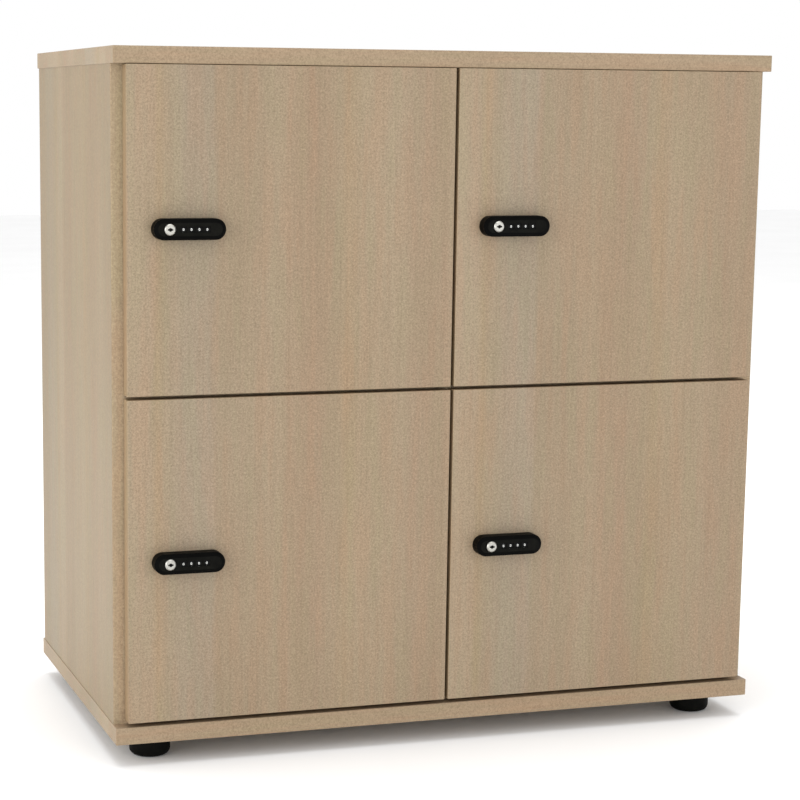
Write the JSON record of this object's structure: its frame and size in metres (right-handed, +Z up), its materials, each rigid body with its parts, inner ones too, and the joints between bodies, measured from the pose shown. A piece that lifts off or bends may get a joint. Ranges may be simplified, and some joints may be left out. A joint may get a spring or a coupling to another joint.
{
  "type": "office locker",
  "caption": "Free-standing light-oak office locker with right-hung doors on concealed hinges, each with a black dial combination lock, on round black feet.",
  "frame": {"origin": "centre of the overall box at floor level, under the feet", "axes": "+X to the right as the doors are faced, the doors face -Y, +Z up"},
  "size_m": [0.8, 0.46, 0.81],
  "materials": {
    "board_oak": "melamine-faced chipboard with a light oak grain, satin",
    "back_board": "thin fibreboard with the same light oak face",
    "foot_black": "black moulded plastic",
    "lock_black": "black moulded plastic, fine texture",
    "wheel_black": "black moulded plastic with light numbers",
    "knob_silver": "satin nickel plate",
    "steel_zinc": "zinc-plated steel",
    "hinge_nickel": "nickel-plated pressed steel",
    "chassis_cast": "die-cast zinc, dark finish",
    "dowel_beech": "bare beech",
    "buffer_clear": "soft translucent plastic"
  },
  "bodies": {
    "cabinet": {"top_panel": "board_oak", "bottom_panel": "board_oak", "left_side_panel": "board_oak", "right_side_panel": "board_oak", "centre_divider": "board_oak", "left_shelf": "board_oak", "right_shelf": "board_oak", "back_panel": "back_board", "feet": "foot_black", "foot_screws": "steel_zinc", "panel_dowels": "dowel_beech", "cam_fittings": "steel_zinc", "back_screws": "steel_zinc", "strike_plates": "steel_zinc", "door_buffers": "buffer_clear", "hinge_arms": "hinge_nickel"},
    "door_upper_left": {"door_upper_left": "board_oak", "hinge_cups_upper_left": "hinge_nickel", "lock_housing_upper_left": "lock_black", "lock_chassis_upper_left": "chassis_cast"},
    "links_upper_left": {"hinge_links_upper_left": "hinge_nickel"},
    "latch_upper_left": {"lock_knob_upper_left": "knob_silver", "lock_cam_upper_left": "steel_zinc"},
    "wheel_upper_left_1": {"wheel_upper_left_1": "wheel_black"},
    "wheel_upper_left_2": {"wheel_upper_left_2": "wheel_black"},
    "wheel_upper_left_3": {"wheel_upper_left_3": "wheel_black"},
    "wheel_upper_left_4": {"wheel_upper_left_4": "wheel_black"},
    "door_upper_right": {"door_upper_right": "board_oak", "hinge_cups_upper_right": "hinge_nickel", "lock_housing_upper_right": "lock_black", "lock_chassis_upper_right": "chassis_cast"},
    "links_upper_right": {"hinge_links_upper_right": "hinge_nickel"},
    "latch_upper_right": {"lock_knob_upper_right": "knob_silver", "lock_cam_upper_right": "steel_zinc"},
    "wheel_upper_right_1": {"wheel_upper_right_1": "wheel_black"},
    "wheel_upper_right_2": {"wheel_upper_right_2": "wheel_black"},
    "wheel_upper_right_3": {"wheel_upper_right_3": "wheel_black"},
    "wheel_upper_right_4": {"wheel_upper_right_4": "wheel_black"},
    "door_lower_left": {"door_lower_left": "board_oak", "hinge_cups_lower_left": "hinge_nickel", "lock_housing_lower_left": "lock_black", "lock_chassis_lower_left": "chassis_cast"},
    "links_lower_left": {"hinge_links_lower_left": "hinge_nickel"},
    "latch_lower_left": {"lock_knob_lower_left": "knob_silver", "lock_cam_lower_left": "steel_zinc"},
    "wheel_lower_left_1": {"wheel_lower_left_1": "wheel_black"},
    "wheel_lower_left_2": {"wheel_lower_left_2": "wheel_black"},
    "wheel_lower_left_3": {"wheel_lower_left_3": "wheel_black"},
    "wheel_lower_left_4": {"wheel_lower_left_4": "wheel_black"},
    "door_lower_right": {"door_lower_right": "board_oak", "hinge_cups_lower_right": "hinge_nickel", "lock_housing_lower_right": "lock_black", "lock_chassis_lower_right": "chassis_cast"},
    "links_lower_right": {"hinge_links_lower_right": "hinge_nickel"},
    "latch_lower_right": {"lock_knob_lower_right": "knob_silver", "lock_cam_lower_right": "steel_zinc"},
    "wheel_lower_right_1": {"wheel_lower_right_1": "wheel_black"},
    "wheel_lower_right_2": {"wheel_lower_right_2": "wheel_black"},
    "wheel_lower_right_3": {"wheel_lower_right_3": "wheel_black"},
    "wheel_lower_right_4": {"wheel_lower_right_4": "wheel_black"}
  },
  "joints": [
    {"name": "door_upper_left_swing", "type": "hinge", "parent": "cabinet", "child": "door_upper_left", "pos_m": [-0.0065, -0.207, 0.60775], "axis": [0, 0, 1], "range_deg": [0, 95]},
    {"name": "links_upper_left_swing", "type": "hinge", "parent": "cabinet", "child": "links_upper_left", "pos_m": [-0.014, -0.19, 0.60775], "axis": [0, 0, 1], "range_deg": [0, 47]},
    {"name": "latch_upper_left_turn", "type": "hinge", "parent": "door_upper_left", "child": "latch_upper_left", "pos_m": [-0.341, -0.212, 0.6118], "axis": [0, -1, 0], "range_deg": [0, 90]},
    {"name": "wheel_upper_left_1_turn", "type": "hinge", "parent": "door_upper_left", "child": "wheel_upper_left_1", "pos_m": [-0.3257, -0.22, 0.6118], "axis": [1, 0, 0], "continuous": true},
    {"name": "wheel_upper_left_2_turn", "type": "hinge", "parent": "door_upper_left", "child": "wheel_upper_left_2", "pos_m": [-0.3167, -0.22, 0.6118], "axis": [1, 0, 0], "continuous": true},
    {"name": "wheel_upper_left_3_turn", "type": "hinge", "parent": "door_upper_left", "child": "wheel_upper_left_3", "pos_m": [-0.3077, -0.22, 0.6118], "axis": [1, 0, 0], "continuous": true},
    {"name": "wheel_upper_left_4_turn", "type": "hinge", "parent": "door_upper_left", "child": "wheel_upper_left_4", "pos_m": [-0.2987, -0.22, 0.6118], "axis": [1, 0, 0], "continuous": true},
    {"name": "door_upper_right_swing", "type": "hinge", "parent": "cabinet", "child": "door_upper_right", "pos_m": [0.3815, -0.207, 0.60775], "axis": [0, 0, 1], "range_deg": [0, 95]},
    {"name": "links_upper_right_swing", "type": "hinge", "parent": "cabinet", "child": "links_upper_right", "pos_m": [0.374, -0.19, 0.60775], "axis": [0, 0, 1], "range_deg": [0, 47]},
    {"name": "latch_upper_right_turn", "type": "hinge", "parent": "door_upper_right", "child": "latch_upper_right", "pos_m": [0.047, -0.212, 0.6118], "axis": [0, -1, 0], "range_deg": [0, 90]},
    {"name": "wheel_upper_right_1_turn", "type": "hinge", "parent": "door_upper_right", "child": "wheel_upper_right_1", "pos_m": [0.0623, -0.22, 0.6118], "axis": [1, 0, 0], "continuous": true},
    {"name": "wheel_upper_right_2_turn", "type": "hinge", "parent": "door_upper_right", "child": "wheel_upper_right_2", "pos_m": [0.0713, -0.22, 0.6118], "axis": [1, 0, 0], "continuous": true},
    {"name": "wheel_upper_right_3_turn", "type": "hinge", "parent": "door_upper_right", "child": "wheel_upper_right_3", "pos_m": [0.0803, -0.22, 0.6118], "axis": [1, 0, 0], "continuous": true},
    {"name": "wheel_upper_right_4_turn", "type": "hinge", "parent": "door_upper_right", "child": "wheel_upper_right_4", "pos_m": [0.0893, -0.22, 0.6118], "axis": [1, 0, 0], "continuous": true},
    {"name": "door_lower_left_swing", "type": "hinge", "parent": "cabinet", "child": "door_lower_left", "pos_m": [-0.0065, -0.207, 0.23715], "axis": [0, 0, 1], "range_deg": [0, 95]},
    {"name": "links_lower_left_swing", "type": "hinge", "parent": "cabinet", "child": "links_lower_left", "pos_m": [-0.014, -0.19, 0.23715], "axis": [0, 0, 1], "range_deg": [0, 47]},
    {"name": "latch_lower_left_turn", "type": "hinge", "parent": "door_lower_left", "child": "latch_lower_left", "pos_m": [-0.341, -0.212, 0.2375], "axis": [0, -1, 0], "range_deg": [0, 90]},
    {"name": "wheel_lower_left_1_turn", "type": "hinge", "parent": "door_lower_left", "child": "wheel_lower_left_1", "pos_m": [-0.3257, -0.22, 0.2375], "axis": [1, 0, 0], "continuous": true},
    {"name": "wheel_lower_left_2_turn", "type": "hinge", "parent": "door_lower_left", "child": "wheel_lower_left_2", "pos_m": [-0.3167, -0.22, 0.2375], "axis": [1, 0, 0], "continuous": true},
    {"name": "wheel_lower_left_3_turn", "type": "hinge", "parent": "door_lower_left", "child": "wheel_lower_left_3", "pos_m": [-0.3077, -0.22, 0.2375], "axis": [1, 0, 0], "continuous": true},
    {"name": "wheel_lower_left_4_turn", "type": "hinge", "parent": "door_lower_left", "child": "wheel_lower_left_4", "pos_m": [-0.2987, -0.22, 0.2375], "axis": [1, 0, 0], "continuous": true},
    {"name": "door_lower_right_swing", "type": "hinge", "parent": "cabinet", "child": "door_lower_right", "pos_m": [0.3815, -0.207, 0.23715], "axis": [0, 0, 1], "range_deg": [0, 95]},
    {"name": "links_lower_right_swing", "type": "hinge", "parent": "cabinet", "child": "links_lower_right", "pos_m": [0.374, -0.19, 0.23715], "axis": [0, 0, 1], "range_deg": [0, 47]},
    {"name": "latch_lower_right_turn", "type": "hinge", "parent": "door_lower_right", "child": "latch_lower_right", "pos_m": [0.047, -0.212, 0.2375], "axis": [0, -1, 0], "range_deg": [0, 90]},
    {"name": "wheel_lower_right_1_turn", "type": "hinge", "parent": "door_lower_right", "child": "wheel_lower_right_1", "pos_m": [0.0623, -0.22, 0.2375], "axis": [1, 0, 0], "continuous": true},
    {"name": "wheel_lower_right_2_turn", "type": "hinge", "parent": "door_lower_right", "child": "wheel_lower_right_2", "pos_m": [0.0713, -0.22, 0.2375], "axis": [1, 0, 0], "continuous": true},
    {"name": "wheel_lower_right_3_turn", "type": "hinge", "parent": "door_lower_right", "child": "wheel_lower_right_3", "pos_m": [0.0803, -0.22, 0.2375], "axis": [1, 0, 0], "continuous": true},
    {"name": "wheel_lower_right_4_turn", "type": "hinge", "parent": "door_lower_right", "child": "wheel_lower_right_4", "pos_m": [0.0893, -0.22, 0.2375], "axis": [1, 0, 0], "continuous": true}
  ],
  "couplings": [
    {"joint": "links_upper_left_swing", "follows": "door_upper_left_swing", "ratio": 0.49},
    {"joint": "links_upper_right_swing", "follows": "door_upper_right_swing", "ratio": 0.49},
    {"joint": "links_lower_left_swing", "follows": "door_lower_left_swing", "ratio": 0.49},
    {"joint": "links_lower_right_swing", "follows": "door_lower_right_swing", "ratio": 0.49}
  ]
}
